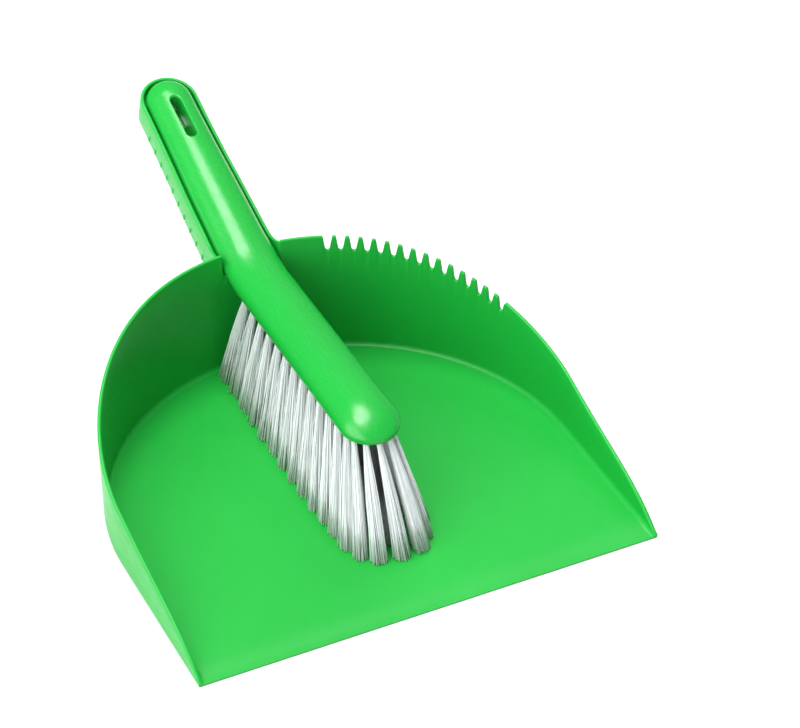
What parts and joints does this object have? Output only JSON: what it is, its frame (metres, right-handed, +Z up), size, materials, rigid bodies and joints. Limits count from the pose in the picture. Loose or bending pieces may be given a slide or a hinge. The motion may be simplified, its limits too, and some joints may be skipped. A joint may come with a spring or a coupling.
{
  "type": "dust pan and brush set",
  "caption": "Flat-bottomed dust pan with a half-round rising wall, a comb in its rim and a trough handle, and a hand brush with splayed tufts laid in it that lifts out.",
  "frame": {"origin": "on the ground, at the middle of the overall box, which is on the pan's flat underside", "axes": "+Z up; +Y from the pan's front lip to the end of the handles; +X to the side with the comb"},
  "size_m": [0.3048, 0.423, 0.1353],
  "materials": {
    "green_plastic_pan": "satin moulded polypropylene",
    "green_plastic_brush": "satin moulded polypropylene",
    "bristle": "pale synthetic filament, cut ends"
  },
  "bodies": {
    "pan": {"dust_pan": "green_plastic_pan"},
    "brush": {"brush_body": "green_plastic_brush", "tuft_left_1": "bristle", "tuft_right_1": "bristle", "tuft_middle_1": "bristle", "tuft_left_2": "bristle", "tuft_right_2": "bristle", "tuft_middle_2": "bristle", "tuft_left_3": "bristle", "tuft_right_3": "bristle", "tuft_middle_3": "bristle", "tuft_left_4": "bristle", "tuft_right_4": "bristle", "tuft_middle_4": "bristle", "tuft_left_5": "bristle", "tuft_right_5": "bristle", "tuft_middle_5": "bristle", "tuft_left_6": "bristle", "tuft_right_6": "bristle", "tuft_middle_6": "bristle", "tuft_left_7": "bristle", "tuft_right_7": "bristle", "tuft_middle_7": "bristle", "tuft_left_8": "bristle", "tuft_right_8": "bristle", "tuft_middle_8": "bristle", "tuft_left_9": "bristle", "tuft_right_9": "bristle", "tuft_middle_9": "bristle", "tuft_left_10": "bristle", "tuft_right_10": "bristle", "tuft_middle_10": "bristle", "tuft_left_11": "bristle", "tuft_right_11": "bristle", "tuft_middle_11": "bristle", "tuft_left_12": "bristle", "tuft_right_12": "bristle", "tuft_middle_12": "bristle", "tuft_left_13": "bristle", "tuft_right_13": "bristle", "tuft_nose_middle": "bristle", "tuft_nose_left_side": "bristle", "tuft_nose_left_front": "bristle", "tuft_nose_front": "bristle", "tuft_nose_right_front": "bristle", "tuft_nose_right_side": "bristle"}
  },
  "joints": [
    {"name": "brush_lift", "type": "slide", "parent": "pan", "child": "brush", "axis": [0, -0.3322, 0.9432], "range_m": [0, 0.2]}
  ]
}
